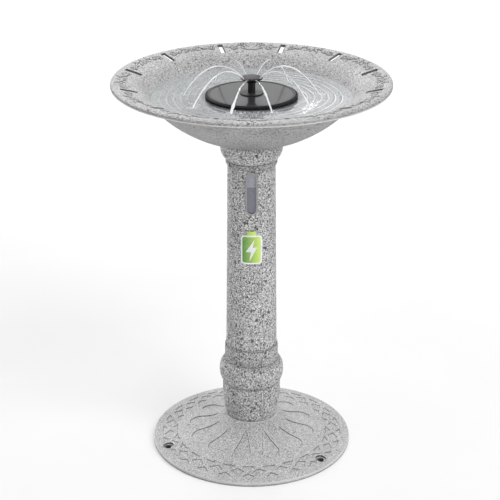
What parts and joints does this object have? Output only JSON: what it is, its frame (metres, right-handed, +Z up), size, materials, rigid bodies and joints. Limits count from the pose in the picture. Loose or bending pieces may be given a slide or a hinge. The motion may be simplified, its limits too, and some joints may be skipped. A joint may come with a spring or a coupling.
{
  "type": "bird bath",
  "caption": "Pedestal bird bath: wide shallow basin with a slotted rim, column with a sight window and battery-shaped label, round domed base and a floating solar fountain with a spray nozzle.",
  "frame": {"origin": "centre of the base plate's foot ring, on the ground", "axes": "+Z up along the column; -Y is the front, where the sight window and the label are; +X is to the right seen from the front"},
  "size_m": [0.5, 0.5, 0.7278],
  "materials": {
    "granite": "fine speckled stone look, matt",
    "grey_plastic": "satin",
    "clear_plastic": "clear, polished",
    "black_plastic": "satin",
    "rubber": "matt",
    "panel_glass": "glossy",
    "steel": "plain",
    "foam": "open-cell foam",
    "magnet": "sintered",
    "copper": "enamelled wire in resin",
    "cell_wrap": "shrink-wrap",
    "board_green": "solder resist",
    "label_green": "printed sticker"
  },
  "bodies": {
    "base": {"base_plate": "granite"},
    "column": {"column_foot": "granite", "foot_seal": "rubber", "column_tube": "granite", "window_bezel": "grey_plastic", "window_gasket": "rubber", "sight_window": "clear_plastic", "window_retainer": "grey_plastic", "ballast_tank": "clear_plastic", "battery_label": "label_green", "neck_bulb": "granite", "neck_seal": "rubber"},
    "bowl": {"basin": "granite", "basin_spigot": "grey_plastic", "spigot_screw_1": "steel", "spigot_screw_2": "steel", "spigot_screw_3": "steel"},
    "fountain": {"float_housing": "black_plastic", "solar_panel": "panel_glass", "bumper_ring": "rubber", "float_foam": "foam", "float_cover": "black_plastic", "case_screw_1": "steel", "case_screw_2": "steel", "case_screw_3": "steel", "case_screw_4": "steel", "battery_cell": "cell_wrap", "control_board": "board_green", "pump_body": "black_plastic", "motor_stator": "copper", "impeller_shaft": "steel", "inlet_cover": "black_plastic", "riser_tube": "black_plastic"},
    "rotor": {"impeller": "grey_plastic", "rotor_magnet": "magnet"},
    "strainer": {"strainer_cap": "black_plastic", "foam_filter": "foam"},
    "nozzle": {"nozzle_cap": "black_plastic"},
    "button": {"power_button": "rubber"}
  },
  "joints": [
    {"name": "column_twist", "type": "hinge", "parent": "base", "child": "column", "pos_m": [0, 0, 0.0563], "axis": [0, 0, 1], "range_deg": [0, 30]},
    {"name": "basin_twist", "type": "hinge", "parent": "column", "child": "bowl", "pos_m": [0, 0, 0.6128], "axis": [0, 0, 1], "range_deg": [0, 30]},
    {"name": "fountain_lift", "type": "slide", "parent": "bowl", "child": "fountain", "axis": [0, 0, 1], "range_m": [0, 0.12]},
    {"name": "impeller_spin", "type": "hinge", "parent": "fountain", "child": "rotor", "pos_m": [0, 0, 0.6495], "axis": [0, 0, 1], "continuous": true},
    {"name": "strainer_twist", "type": "hinge", "parent": "fountain", "child": "strainer", "pos_m": [0, 0, 0.647], "axis": [0, 0, 1], "range_deg": [0, 25]},
    {"name": "nozzle_pull", "type": "slide", "parent": "fountain", "child": "nozzle", "axis": [0, 0, 1], "range_m": [0, 0.02]},
    {"name": "power_press", "type": "slide", "parent": "fountain", "child": "button", "axis": [0, 0, 1], "range_m": [0, 0.0012], "stiffness_N_per_m": 150}
  ]
}
